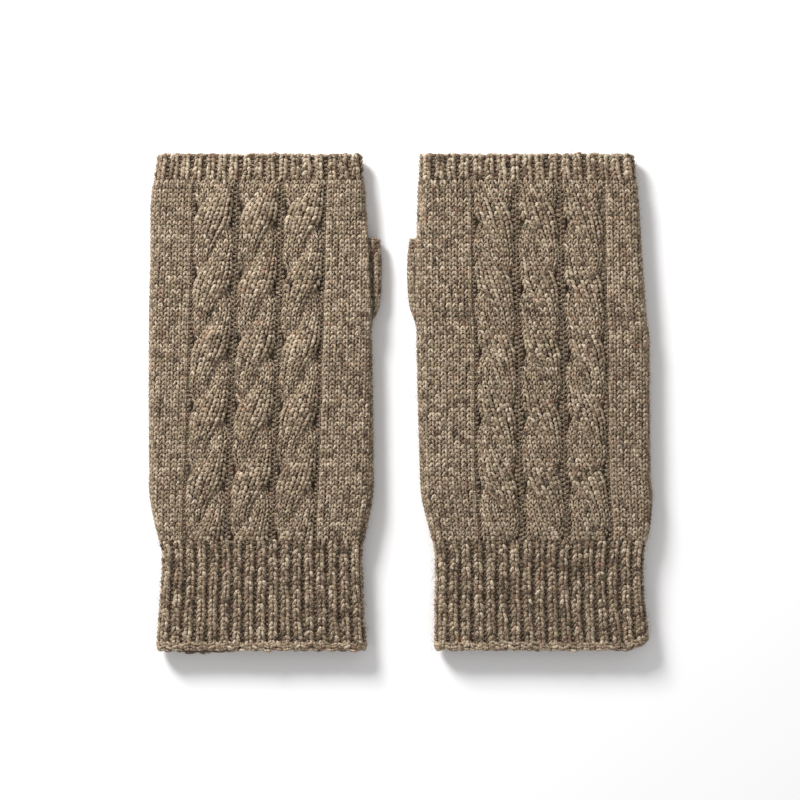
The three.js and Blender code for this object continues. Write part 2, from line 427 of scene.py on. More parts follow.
def yarn_lump(name, along, thick, dive, sides):
    """A closed spindle of yarn along y; `along` and `thick` give its rings, `dive` their depth."""
    points, yarn = [(0, -0.5, dive[0])], [(0.5, 0, 0)]
    for t, r, z in zip(along, thick, dive[1:-1]):
        for i in range(sides):
            turn = 2 * math.pi * i / sides
            points.append((-r * math.sin(turn), t - 0.5, z - r * math.cos(turn)))
            yarn.append((i / sides, t, 0))
    points.append((0, 0.5, dive[-1]))
    yarn.append((0.5, 1, 0))
    last, faces = len(points) - 1, []
    for i in range(sides):
        j = (i + 1) % sides
        faces.append((0, 1 + j, 1 + i))
        faces.append((last, last - sides + i, last - sides + j))
        for ring in range(len(along) - 1):
            a = 1 + ring * sides
            faces.append((a + i, a + j, a + sides + j, a + sides + i))
    mesh = bpy.data.meshes.new(name)
    mesh.from_pydata(points, [], faces)
    face_outwards(mesh)
    write_points(mesh, "yarn", yarn)
    print(name, "has", len(mesh.polygons), "faces")
    return bpy.data.objects.new(name, mesh)


RINGS = (0.05, 0.25, 0.75, 0.95)
DIVE = (-0.5, -0.36, 0, 0, -0.36, -0.5)
face_yarn = yarn_lump("face yarn", RINGS, (0.27, 0.48, 0.48, 0.27), DIVE, 6)
palm_yarn = yarn_lump("palm yarn", RINGS, (0.3, 0.54, 0.54, 0.3), DIVE, 4)
loose_fibre = yarn_lump(
    "loose fibre", (0.02, 0.45, 0.95), (0.014, 0.015, 0.009), (0, 0, 0.13, 0, -0.04), 3
)

# %% [markdown]
# ## Laying the stitches with Geometry Nodes
# Instance on Points copies the lump to every guide point. Axes to Rotation turns it so that
# its depth points out of the wool and its length follows the yarn; the guide's `size`
# stretches it. The tree ends in real mesh with its material, because instances would be lost
# on export.

# %% The node tree


def stitch_tree():
    tree = bpy.data.node_groups.new("lay stitches", "GeometryNodeTree")
    sockets = {}
    for name, kind in (
        ("Guide", "NodeSocketGeometry"),
        ("Stitch", "NodeSocketObject"),
        ("Thickness", "NodeSocketFloat"),
        ("Wool", "NodeSocketMaterial"),
    ):
        sockets[name] = tree.interface.new_socket(name, in_out="INPUT", socket_type=kind).identifier
    tree.interface.new_socket("Knitting", in_out="OUTPUT", socket_type="NodeSocketGeometry")
    given = add_node(tree, "NodeGroupInput")
    stitch = add_node(tree, "GeometryNodeObjectInfo", links={"Object": given.outputs["Stitch"]})
    read = {}
    for name in ("outward", "along", "size"):
        node = add_node(
            tree, "GeometryNodeInputNamedAttribute", {"Name": name}, data_type="FLOAT_VECTOR"
        )
        read[name] = node.outputs["Attribute"]
    turn = add_node(
        tree,
        "FunctionNodeAxesToRotation",
        links={"Primary Axis": read["outward"], "Secondary Axis": read["along"]},
        primary_axis="Z",
        secondary_axis="Y",
    )
    stretch = add_node(
        tree,
        "ShaderNodeVectorMath",
        links={0: read["size"], "Scale": given.outputs["Thickness"]},
        operation="SCALE",
    )
    laid = add_node(
        tree,
        "GeometryNodeInstanceOnPoints",
        links={
            "Points": given.outputs["Guide"],
            "Instance": stitch.outputs["Geometry"],
            "Rotation": turn.outputs["Rotation"],
            "Scale": stretch.outputs["Vector"],
        },
    )
    real = add_node(tree, "GeometryNodeRealizeInstances", links={"Geometry": laid.outputs["Instances"]})
    smooth = add_node(tree, "GeometryNodeSetShadeSmooth", links={"Geometry": real.outputs["Geometry"]})
    dyed = add_node(
        tree,
        "GeometryNodeSetMaterial",
        links={"Geometry": smooth.outputs["Geometry"], "Material": given.outputs["Wool"]},
    )
    add_node(tree, "NodeGroupOutput", links={0: dyed.outputs["Geometry"]})
    return tree, sockets


lay_stitches, lay_inputs = stitch_tree()
print("inputs:", list(lay_inputs))

# %% From guide points to a mesh
# Scales every stitch of a piece; at 1 the guide's own sizes hold
THICKNESS = 1.0


def lay(name, guides, stitch, wool):
    """Lays the stitch on every guide point and returns a plain mesh piece."""
    joined = {k: np.concatenate([g[k] for g in guides]) for k in guides[0]}
    points = bpy.data.meshes.new(name + " guide")
    points.vertices.add(len(joined["at"]))
    points.vertices.foreach_set("co", (joined["at"] * MM).astype(np.float32).ravel())
    joined["size"] = joined["size"] * MM
    for key in ("outward", "along", "size", "tone"):
        write_points(points, key, joined[key])
    guide = bpy.data.objects.new(name + " guide", points)
    scene.collection.objects.link(guide)
    modifier = guide.modifiers.new("knit", "NODES")
    modifier.node_group = lay_stitches
    modifier[lay_inputs["Stitch"]] = stitch
    modifier[lay_inputs["Thickness"]] = THICKNESS
    modifier[lay_inputs["Wool"]] = wool
    ready = guide.evaluated_get(bpy.context.evaluated_depsgraph_get())
    mesh = bpy.data.meshes.new_from_object(ready)
    mesh.name = name
    for key in ("outward", "along", "size"):
        if key in mesh.attributes:
            mesh.attributes.remove(mesh.attributes[key])
    bpy.data.objects.remove(guide)
    piece = bpy.data.objects.new(name, mesh)
    scene.collection.objects.link(piece)
    mesh.calc_loop_triangles()
    print(name, len(joined["at"]), "stitches,", len(mesh.loop_triangles), "triangles")
    return piece


# %% Guides for single pieces of yarn


def unit(vectors):
    """Each vector at length 1."""
    return vectors / np.linalg.norm(vectors, axis=-1)[:, None]


def strokes(tube, s, y, lift, width, depth, tone, spare):
    """Guide points for yarn between two points: s, y and lift each hold a (first, second) pair.

    spare: how much longer than the way between the points the yarn is.
    """
    first, out_1 = tube.at(s[0], y[0], lift[0])
    second, out_2 = tube.at(s[1], y[1], lift[1])
    length = np.linalg.norm(second - first, axis=-1)
    along = unit(second - first)
    out = out_1 + out_2
    out = unit(out - (out * along).sum(-1)[:, None] * along)
    shape = length.shape
    size = np.stack(
        [np.broadcast_to(width, shape), length * spare, np.broadcast_to(depth, shape)], -1
    )
    tone = np.broadcast_to(tone, shape)
    return [{"at": (first + second) / 2, "outward": out, "along": along, "size": size, "tone": tone}]


print("guides for yarn ready")

# %% Knit and purl stitches
# A leg of a knit stitch: off the wale's middle and slant, in wales; down and up, in courses
LEG = (0.26, 0.21)
LEG_DOWN = 0.66
LEG_UP = 0.6
# How deep its feet dive, in mm, and how much darker the yarn is painted for each mm that it
# lies sunk: painted shade in grooves, gutters and creases
TUCK = 0.34
SUNK_PAINTED_SHADE = 0.11
# How much longer than its way the yarn of a leg, an arch and a chain is, so that ends overlap
LEG_SPARE = 1.14
ARCH_SPARE = 1.15
CHAIN_SPARE = 1.1
# How uneven the stitches are: in place, in width and in shade
JOG = 0.045
UNEVEN_WIDTH = 0.12
UNEVEN_SHADE = 0.18
# Slow waves of whole wales: reach in wales, length in mm, change from wale to wale
SWAY = ((0.04, 6.5, 1.9), (0.02, 2.7, 4.3))
# How many stitches the yarn keeps a shade for, and how far the shade drifts and jumps
SHADE_RUN = 5
DRIFT = 0.05
JUMP = 0.06


def heather(wales, courses):
    """Shade of each stitch: it drifts along a row as the yarn does and jumps between rows."""
    drift = chance.normal(size=(courses, wales + SHADE_RUN - 1))
    shifted = np.stack([drift[:, i : i + wales] for i in range(SHADE_RUN)])
    drift = shifted.mean(0) * math.sqrt(SHADE_RUN)
    return np.clip(0.5 + DRIFT * drift + JUMP * chance.normal(size=(courses, wales)), 0, 1)


def spread(wales, heights):
    """Every wale crossed with every course, as two flat lists."""
    grid_y, grid_w = np.meshgrid(heights, wales, indexing="ij")
    return grid_w.ravel(), grid_y.ravel()


def knit(tube, place, lift, wales, heights, course, width, leg=LEG):
    """The two slanting legs of every stitch. leg: how far off the wale's middle, and the slant."""
    shade = heather(len(wales), len(heights)).ravel()
    wale, y = spread(wales, heights)
    # Sunk yarn is painted darker, as painted shade where it lies low
    shade = shade - SUNK_PAINTED_SHADE * np.clip(-lift(wale, y), 0, 2)
    slant = leg[1](y) if callable(leg[1]) else leg[1]
    sway = sum(reach * np.sin(y / long + change * wale) for reach, long, change in SWAY)
    guides = []
    for side in (-1, 1):
        jog = JOG * chance.normal(size=(3, len(y)))
        tops = wale + side * (leg[0] - slant) + jog[0] + sway
        feet = wale + side * (leg[0] + slant) + jog[1] + sway
        y_feet = y - LEG_DOWN * course + 2 * jog[2]
        y_tops = y + LEG_UP * course + 2 * jog[2]
        guides += strokes(
            tube,
            (place(feet, y_feet), place(tops, y_tops)),
            (y_feet, y_tops),
            (lift(feet, y_feet) - TUCK, lift(tops, y_tops) + 0.3 * TUCK),
            width(y) * (1 + UNEVEN_WIDTH * chance.normal(size=len(y))),
            YARN,
            np.clip(shade + UNEVEN_SHADE * chance.normal(size=len(y)), 0, 1),
            LEG_SPARE,
        )
    return guides


def purl(tube, place, lift, wales, heights, reach, thick, course, painted_shade):
    """The little arch of every purl stitch: one stroke up to its crown and one down."""
    # Each arch is painted darker by the last argument, as painted shade where it lies sunk
    shade = heather(len(wales), len(heights)).ravel() - painted_shade
    wale, y = spread(wales, heights)
    tilt = 0.14 * chance.normal(size=len(y))
    crown_y = y + 0.26 * course + 0.1 * chance.normal(size=len(y))
    guides = []
    for side in (-1, 1):
        foot, foot_y = wale + side * reach, y - 0.22 * course + side * tilt
        crown = wale - side * 0.12 * reach
        guides += strokes(
            tube,
            (place(foot, foot_y), place(crown, crown_y)),
            (foot_y, crown_y),
            (lift(foot, foot_y), lift(crown, crown_y)),
            thick,
            thick,
            shade,
            ARCH_SPARE,
        )
    return guides


print("stitches ready")

# %% [markdown]
# ## Wool
# The yarn is woollen-spun: a carded wool in which dark, taupe and beige fibres are blended
# before spinning, with a rare reddish or olive one. So each stitch has its own shade, the
# blend shows as fine mottling inside it, and the surface scatters light with almost no
# shine. Loose fibres on the yarn make a soft sheen at grazing angles.

# %% Heathered wool
# Across a clump of fibres of one shade, and across a reddish or an olive patch, in mm
FIBRE_CLUMP = 0.7
FLECK = 4.5
# Where each rare colour's pattern starts, so that the two differ
RARE_FIBRES = ((0.0, "#9c6c56"), (7.3, "#8d8660"))


def heathered_wool(name, shades, sheen=0.25):
    """shades: sRGB colours from the darkest stitch to the lightest."""
    wool = bpy.data.materials.new(name)
    wool.use_nodes = True
    tree = wool.node_tree
    tree.nodes.clear()
    where = add_node(tree, "ShaderNodeTexCoord")
    tone = add_node(tree, "ShaderNodeAttribute", attribute_name="tone")
    clump = add_node(
        tree,
        "ShaderNodeTexNoise",
        {"Scale": 1000 / FIBRE_CLUMP, "Detail": 3.0, "Roughness": 0.7},
        {"Vector": where.outputs["Object"]},
    )
    mottle = add_node(
        tree,
        "ShaderNodeMath",
        {1: 3.2, 2: -1.6},
        {0: clump.outputs["Fac"]},
        operation="MULTIPLY_ADD",
    )
    shade = add_node(
        tree,
        "ShaderNodeMath",
        links={0: tone.outputs["Fac"], 1: mottle.outputs["Value"]},
        operation="ADD",
    )
    dye = add_node(tree, "ShaderNodeValToRGB", links={"Fac": shade.outputs["Value"]})
    ramp = dye.color_ramp.elements
    while len(ramp) < len(shades):
        ramp.new(0.5)
    for i, hex_colour in enumerate(shades):
        ramp[i].position = i / (len(shades) - 1)
        ramp[i].color = linear(hex_colour)
    colour = dye.outputs["Color"]
    # In a colour mix, inputs 6 and 7 are the two colours and output 2 is the result
    for offset, rare in RARE_FIBRES:
        moved = add_node(
            tree,
            "ShaderNodeMapping",
            {"Location": (offset, offset, 0)},
            {"Vector": where.outputs["Object"]},
        )
        patch = add_node(
            tree,
            "ShaderNodeTexNoise",
            {"Scale": 1000 / FLECK, "Detail": 2.0},
            {"Vector": moved.outputs["Vector"]},
        )
        amount = add_node(
            tree,
            "ShaderNodeMapRange",
            {"From Min": 0.56, "From Max": 0.74, "To Max": 0.33},
            {"Value": patch.outputs["Fac"]},
        )
        mixed = add_node(
            tree,
            "ShaderNodeMix",
            {7: linear(rare)},
            {0: amount.outputs["Result"], 6: colour},
            data_type="RGBA",
        )
        colour = mixed.outputs[2]
    yarn = add_node(tree, "ShaderNodeAttribute", attribute_name="yarn")
    axes = add_node(tree, "ShaderNodeSeparateXYZ", links={0: yarn.outputs["Vector"]})
    twist = add_node(
        tree,
        "ShaderNodeMath",
        {1: 0.7},
        {0: axes.outputs["Y"], 2: axes.outputs["X"]},
        operation="MULTIPLY_ADD",
    )
    turns = add_node(
        tree,
        "ShaderNodeMath",
        {1: 4 * math.pi},
        {0: twist.outputs["Value"]},
        operation="MULTIPLY",
    )
    ply = add_node(tree, "ShaderNodeMath", links={0: turns.outputs["Value"]}, operation="SINE")
    fine = add_node(
        tree,
        "ShaderNodeTexNoise",
        {"Scale": 3300.0, "Detail": 2.0},
        {"Vector": where.outputs["Object"]},
    )
    height = add_node(
        tree,
        "ShaderNodeMath",
        {1: 0.2},
        {0: ply.outputs["Value"], 2: fine.outputs["Fac"]},
        operation="MULTIPLY_ADD",
    )
    bump = add_node(
        tree,
        "ShaderNodeBump",
        {"Strength": 0.6, "Distance": 0.00025},
        {"Height": height.outputs["Value"]},
    )
    shader = add_node(
        tree,
        "ShaderNodeBsdfPrincipled",
        {
            "Roughness": 0.92,
            "IOR": 1.55,
            "Specular IOR Level": 0.25,
            "Sheen Weight": sheen,
            "Sheen Roughness": 0.6,
            "Sheen Tint": linear("#d8c8b4"),
        },
        {"Base Color": colour, "Normal": bump.outputs["Normal"]},
    )
    add_node(tree, "ShaderNodeOutputMaterial", links={"Surface": shader.outputs["BSDF"]})
    return wool


# A matt warm taupe, flecked with brown and beige: soft and a little dusty to the eye
HAND_SHADES = ("#372b21", "#6a5947", "#887661", "#a2907a", "#c3b49e")
hand_wool = heathered_wool("heathered lambswool", HAND_SHADES)

# The same wool painted a touch deeper, as painted shade for the ribs' shaded valleys, so that
# the cords stand out from them
RIB_SHADES = ("#2e241b", "#625140", "#836f5b", "#9e8c75", "#c6b7a1")
rib_wool = heathered_wool("ribbed lambswool", RIB_SHADES)

# Dark and even: the eye takes it for shade between the stitches and inside the openings
LINING_SHADES = ("#332a22", "#463a2f", "#56493c", "#655747", "#746554")
lining_wool = heathered_wool("inside of the knitting", LINING_SHADES)

# A calm middle taupe, which makes the chain of the seam look neater than the knitting
SEAM_SHADES = ("#40352b", "#5c4f41", "#706251", "#857663", "#9d8e7b")
seam_yarn = heathered_wool("linking yarn", SEAM_SHADES)

# Pale with more sheen: painted pale as a painted highlight, it shows as a thin bright halo
# over the wool
FUZZ_SHADES = ("#6f6150", "#8b7c6a", "#a39482", "#b9ab98", "#d2c6b5")
fuzz_wool = heathered_wool("loose fibres", FUZZ_SHADES, 0.6)
print("materials:", [m.name for m in bpy.data.materials])

# %% [markdown]
# ## How the pattern is set out
# The hand is 86 wales (columns of stitches) round. The back has seven plain wales, then
# three cables of eight wales with two purl wales on each side of each, then seven plain
# wales. The palm's 40 wales are plain. The pattern wanders a little off the middle of the hand.

# %% Setting out the hand
COURSES = 79
CABLES = 3
CABLE_HALF = 4
GUTTER = 2
PLAIN = 7
PATTERN_HALF = (CABLES * 2 * CABLE_HALF + (CABLES + 1) * GUTTER) // 2
BACK_HALF = PATTERN_HALF + PLAIN
PALM_HALF = 20
HALF_ROUND = BACK_HALF + PALM_HALF
COURSE = (HAND_TOP - WRIST_LINE) / COURSES
HAND_ROWS = WRIST_LINE + COURSE * (np.arange(COURSES) + 0.5)
# From cable to cable, and from the middle of the pattern to its edge, in mm
CABLE_PITCH = 19.2
PATTERN_EDGE = 29.4
# Width of one leg of a plain stitch, as a share of its wale
PLAIN_LEG = 0.49


def hand_place(hand):
    """Where a wale counted from the middle cable lies round the hand."""

    def place(wale, y):
        spare = hand.around(y) / 2 - PATTERN_EDGE
        plain = spare / (HALF_ROUND - PATTERN_HALF)
        far = np.abs(wale)
        inside = far * PATTERN_EDGE / PATTERN_HALF
        away = np.where(far < PATTERN_HALF, inside, PATTERN_EDGE + (far - PATTERN_HALF) * plain)
        return np.polyval(hand.wander, y) + np.sign(wale) * away

    return place


def plain_width(hand):
    """Width of a leg in the plain fabric, whose wales share what the pattern leaves."""

    def width(y):
        return PLAIN_LEG * (hand.around(y) / 2 - PATTERN_EDGE) / (HALF_ROUND - PATTERN_HALF)

    return width


print("course", round(COURSE, 3), "mm, cable pitch", CABLE_PITCH, "mm")

# %% The slump over the thumb
CREASE_Y = THUMB_ROOT - 1.8
CREASE_DEPTH = {"left": 0.4, "right": 1.4}
# Over how many mm the slump fades out towards the fingers, and the dip below it towards the wrist
SLUMP_FADE = 34
DIP_FADE = 13
# How far the fabric sinks where it meets the finger rib
RIB_DIP = 0.5
# The share of the slump that the middle of the back takes
MIDDLE_SHARE = 0.35


def hand_lift(hand):
    """The plain fabric: sunk at the finger rib, and slumped over the thumb into a crease."""
    depth = CREASE_DEPTH[hand.name]

    def lift(wale, y):
        foot = -RIB_DIP * step(y, HAND_TOP - 1.2, HAND_TOP)
        fade = 1 - step(y, CREASE_Y, CREASE_Y + SLUMP_FADE)
        slump = depth * step(y, CREASE_Y - 3.2, CREASE_Y + 0.8) * fade
        fade = 1 - step(y, CREASE_Y - 3, CREASE_Y)
        slump -= 0.5 * depth * step(y, CREASE_Y - DIP_FADE, CREASE_Y - 3) * fade
        near_thumb = step(hand.thumb_side * wale, PATTERN_HALF - 2, PATTERN_HALF + 3)
        share = MIDDLE_SHARE + (1 - MIDDLE_SHARE) * near_thumb
        return foot + slump * share * (np.abs(wale) < BACK_HALF)

    return lift


def pattern_lift(hand):
    """The same slump in the pattern between the sides."""
    side = hand_lift(hand)

    def lift(y):
        return side(np.zeros_like(y), y)

    return lift


print("crease at", round(CREASE_Y, 1), "mm")

# %% [markdown]
# ## Cables
# A cable is two strands of four wales that change places every fourteen or so courses. The
# strand that crosses in front always leans the same way, so the pair looks like a rope; on
# the other glove it leans the other way. Each strand is a rounded ridge that rises and
# widens where it crosses in front, and dives where it passes behind.

# %% Paths of the strands
# From crossing to crossing, the first one's place, and how far a strand swings, in mm
CROSSING = 28.1
FIRST_CROSSING = HAND_TOP - 15.8
SWING = 4.5
# Half the width of a strand, and how much more it spreads in front on each glove
STRAND_HALF = 4.5
SPREAD = {"left": 3.2, "right": 3.0}
# How uneven a strand's way is; at 0 it would cross as quickly in front as behind
HURRY = 0.35


def strand_phase(y):
    """Grows by half a turn from one crossing to the next."""
    return math.pi * (y - FIRST_CROSSING) / CROSSING


def in_front(y, which):
    """1 where the strand crosses in front, -1 where it passes behind."""
    return which * np.cos(strand_phase(y))


def strand_half(hand, y, which):
    """Half the width of a strand, which spreads where it is in front."""
    return STRAND_HALF + SPREAD[hand.name] * np.clip(in_front(y, which), 0, 1) ** 2


def strand_middle(hand, y, which):
    """A strand takes a long slow way across in front and a short quick way back behind."""
    phase = strand_phase(y)
    return hand.thumb_side * which * SWING * np.sin(phase - HURRY * which * np.sin(phase))


def cable_edge(hand, y):
    """How far a cable reaches from its own middle."""
    reach = [np.abs(strand_middle(hand, y, which)) + strand_half(hand, y, which) for which in (-1, 1)]
    return np.maximum(*reach)


print("crossings at", [round(FIRST_CROSSING - i * CROSSING, 1) for i in range(5)])

# %% Stitches of the cables and the gutters
# A strand stands up in a dome, falls off at its sides, and rises more in front, in mm
DOME = 0.9
FALL = 2.1
STRAND_LIFT = 0.1
FRONT_LIFT = 0.95
# Width of a leg as a share of its wale, and how much more upright the legs stand in front
CABLE_LEG = 0.48
UPRIGHT = 0.07
# The cord beside the pattern: width and how far it lies sunk
CORD_WIDTH = 1.1
CORD_SUNK = 0.3
# The purl stitches between the cables: reach in wales, thickness, depth, and painted shade
# that darkens them where they lie sunk between the cables
GUTTER_REACH = 0.6
GUTTER_YARN = 1.7
GUTTER_SUNK = 0.9
GUTTER_PAINTED_SHADE = 0.2


def cable_guides(hand, number):
    """Stitches of one cable; number counts from the middle one."""
    guides, slump = [], pattern_lift(hand)
    for which in (-1, 1):

        def place(wale, y, which=which):
            middle = np.polyval(hand.wander, y) + number * CABLE_PITCH
            return middle + strand_middle(hand, y, which) + wale * strand_half(hand, y, which) / 2

        def lift(wale, y, which=which):
            dome = DOME - FALL * np.clip(np.abs(wale) / 2, 0, 1) ** 3
            ends = step(y, WRIST_LINE, WRIST_LINE + 7) * (1 - step(y, HAND_TOP - 5, HAND_TOP))
            return (STRAND_LIFT + FRONT_LIFT * in_front(y, which) + dome) * ends + slump(y)

        def width(y, which=which):
            return CABLE_LEG * strand_half(hand, y, which) / 2

        def slant(y, which=which):
            return LEG[1] - UPRIGHT * np.clip(in_front(y, which), 0, 1)

        wales = np.arange(-1.5, 2)
        guides += knit(hand, place, lift, wales, HAND_ROWS, COURSE, width, (LEG[0], slant))
    return guides


def border_guides(hand):
    """The last plain wale beside a gutter turns its leg sideways, a nearly unbroken cord."""
    place, side = hand_place(hand), hand_lift(hand)
    guides = []
    for edge in (-PATTERN_HALF, PATTERN_HALF):
        low, high = HAND_ROWS - 0.72 * COURSE, HAND_ROWS + 0.72 * COURSE
        wale = np.full_like(low, edge) + 0.05 * chance.normal(size=len(low))
        shade = np.clip(0.55 + 0.1 * chance.normal(size=len(low)), 0, 1)
        spots = (place(wale, low), place(wale, high))
        lifts = (side(wale, low) - CORD_SUNK, side(wale, high) - CORD_SUNK)
        guides += strokes(hand, spots, (low, high), lifts, CORD_WIDTH, YARN, shade, CHAIN_SPARE)
    return guides


def gutter_guides(hand):
    """Purl wales between the cables and the plain sides; they are squeezed where a cable is wide."""
    guides, slump = [], pattern_lift(hand)
    for number in range(CABLES + 1):
        left = (number - 1 - (CABLES - 1) / 2) * CABLE_PITCH
        right = left + CABLE_PITCH

        def place(wale, y, left=left, right=right, number=number):
            from_x = left + cable_edge(hand, y) if number > 0 else np.full_like(y, -PATTERN_EDGE)
            to_x = right - cable_edge(hand, y) if number < CABLES else np.full_like(y, PATTERN_EDGE)
            middle, half = (from_x + to_x) / 2, np.maximum((to_x - from_x) / 2, 1.0)
            return np.polyval(hand.wander, y) + middle + wale * half

        def lift(wale, y):
            return slump(y) - GUTTER_SUNK

        for wale in (-0.5, 0.5):
            guides += purl(
                hand,
                place,
                lift,
                np.array([wale]),
                HAND_ROWS + 0.5 * wale * COURSE,
                GUTTER_REACH,
                GUTTER_YARN,
                COURSE,
                GUTTER_PAINTED_SHADE,
            )
    return guides


print("stitches in a cable:", 2 * CABLE_HALF * COURSES)

# %% Knit the hands
pieces = []


def keep(piece, bodies, slot, nodes=(), bend=None):
    """Notes how a finished piece rides; at the end it is attached to a body or baked in place."""
    pieces.append((piece, bodies, slot, nodes, bend))


for hand in hands:
    place, lift, width = hand_place(hand), hand_lift(hand), plain_width(hand)
    body = hand.name + "_hand"
    side = np.arange(PATTERN_HALF + 0.5, BACK_HALF)
    sides = np.concatenate([-side[::-1], side])
    plain = knit(hand, place, lift, sides, HAND_ROWS, COURSE, width) + border_guides(hand)
    piece = lay(hand.name + "_back_sides", plain, face_yarn, hand_wool)
    keep(piece, [body], "wool", [hand.name + "_back_panel"])
    for number in (-1, 0, 1):
        cable = cable_guides(hand, number)
        keep(lay(f"{hand.name}_cable_{number + 2}", cable, face_yarn, hand_wool), [body], "wool")
    gutters = gutter_guides(hand)
    keep(lay(hand.name + "_purl_gutters", gutters, palm_yarn, hand_wool), [body], "wool")
    palm_wales = np.arange(BACK_HALF + 0.5, HALF_ROUND)
    for half, wales in (("outer", palm_wales), ("inner", -palm_wales[::-1])):
        palm = knit(hand, place, lift, wales, HAND_ROWS, COURSE, width)
        piece = lay(f"{hand.name}_palm_{half}", palm, palm_yarn, hand_wool)
        keep(piece, [body], "wool", [hand.name + "_palm_panel"])

# %% [markdown]
# ## Ribs
# The wrist and the finger end are one-by-one rib: knit and purl wales take turns. The knit
# wales crowd together into round cords and the purl wales sink between them, which is why
# the rib is narrower, stretchy and darker in its shaded valleys; its wool and its sunk bars
# are also painted darker, as painted shade.

# %% Knit the ribs
RIB_PERIODS = 36
WRIST_COURSES = 23
FINGER_COURSES = 6
# The share of a period that the knit wale takes, and the depth of the valleys
KNIT_SHARE = 0.44
VALLEY = 1.5
# Width of a leg of a rib's knit stitch, as a share of its wale
RIB_LEG = 0.76
# The purl stitches in the valleys: reach in periods, thickness, depth, and painted shade that
# darkens them where they lie sunk in the valleys
BAR_REACH = 0.13
BAR_YARN = 1.95
BAR_SUNK = 0.5
BAR_PAINTED_SHADE = 0.3
# The hem: where the rib starts above it, its yarn, and each chain's height, lift and zigzag
HEM = 2.4
HEM_YARN = 1.5
HEM_CHAINS = ((0.8, -0.4, 0.2), (1.9, 0.0, 0.6), (3.1, -0.1, 0.6))
# The short finger rib is shallower than the wrist rib, and painted a little paler as painted
# light, where more light falls on the finger end
FINGER_DEEP = 0.75
FINGER_PAINTED_LIGHT = 0.09


def rib_place(tube, periods):
    """Where a period of the rib lies round its tube."""

    def place(period, y):
        return period * tube.around(y) / periods

    return place


def rib_lift(period, y):
    """Round cords with narrow valleys, which fade out where the rib joins the hand."""
    start = 1 - 0.7 * step(y, WRIST_LINE - 7, WRIST_LINE + 1) * (y < HAND_TOP - 1)
    return start * (-VALLEY * (0.5 - 0.5 * np.cos(2 * math.pi * period)) ** 1.5)


def rib_guides(tube, periods, start, end, courses, deep=1.0, painted_light=0.0):
    """One-by-one rib round a tube; deep scales its valleys, and the last argument adds painted light to
    its shade.
    """
    course = (end - start) / courses
    heights = start + course * (np.arange(courses) + 0.5)
    place = rib_place(tube, periods)

    def lift(period, y):
        return deep * rib_lift(period, y)

    def width(y):
        return RIB_LEG * KNIT_SHARE * tube.around(y) / periods

    def bar_lift(period, y):
        return lift(period, y) - BAR_SUNK

    wales = np.arange(periods) - periods / 2
    leg = (0.47 * KNIT_SHARE, 0.25 * KNIT_SHARE)
    cords = knit(tube, place, lift, wales, heights, course, width, leg)
    bars = purl(
        tube, place, bar_lift, wales + 0.5, heights, BAR_REACH, BAR_YARN, course, BAR_PAINTED_SHADE
    )
    for guide in cords + bars:
        guide["tone"] = guide["tone"] + painted_light
    return cords + bars


def edge_guides(tube, y, count, thick, lift, zigzag=0.25):
    """The cast-off edge: a ring of chain loops that lie along it."""
    turn = np.arange(count) / count
    around = tube.around(np.full(count, y))
    heights = y + 0.2 * chance.normal(size=count)
    tilt = zigzag * (-1) ** np.arange(count) + 0.25 * chance.normal(size=count)
    return strokes(
        tube,
        ((turn - 0.62 / count) * around, (turn + 0.62 / count) * around),
        (heights - tilt, heights + tilt),
        (lift - 0.3, lift + 0.2 * chance.normal(size=count)),
        thick,
        thick,
        np.clip(0.58 + 0.15 * chance.normal(size=count), 0, 1),
        CHAIN_SPARE,
    )


for hand in hands:
    bodies = [hand.name + "_hand", hand.name + "_cuff"]
    wrist = rib_guides(hand, RIB_PERIODS, WRIST_END + HEM, WRIST_LINE, WRIST_COURSES)
    for up, raised, zigzag in HEM_CHAINS:
        wrist += edge_guides(hand, WRIST_END + up, 2 * RIB_PERIODS, HEM_YARN, raised, zigzag)
    piece = lay(hand.name + "_wrist_rib_knit", wrist, face_yarn, rib_wool)
    keep(piece, bodies, "rib_wool", [hand.name + "_wrist_rib"], "wrist")
    fingers = rib_guides(
        *(hand, RIB_PERIODS, HAND_TOP, FINGER_END - 0.8, FINGER_COURSES),
        deep=FINGER_DEEP,
        painted_light=FINGER_PAINTED_LIGHT,
    )
    fingers += edge_guides(hand, FINGER_END - 0.9, 2 * RIB_PERIODS, YARN, -0.4)
    piece = lay(hand.name + "_finger_rib_knit", fingers, face_yarn, rib_wool)
    keep(piece, bodies[:1], "rib_wool", [hand.name + "_finger_rib"])

# %% Knit the thumbs
THUMB_WALES = 14
THUMB_PERIODS = THUMB_WALES // 2
THUMB_COURSE = 1.95
THUMB_LEG = 0.55
THUMB_RIB_COURSES = 3
THUMB_RIB_DEEP = 0.6
THUMB_EDGE_YARN = 1.4
# How far the left thumb folds down beside the hand
THUMB_FOLD = 2.0

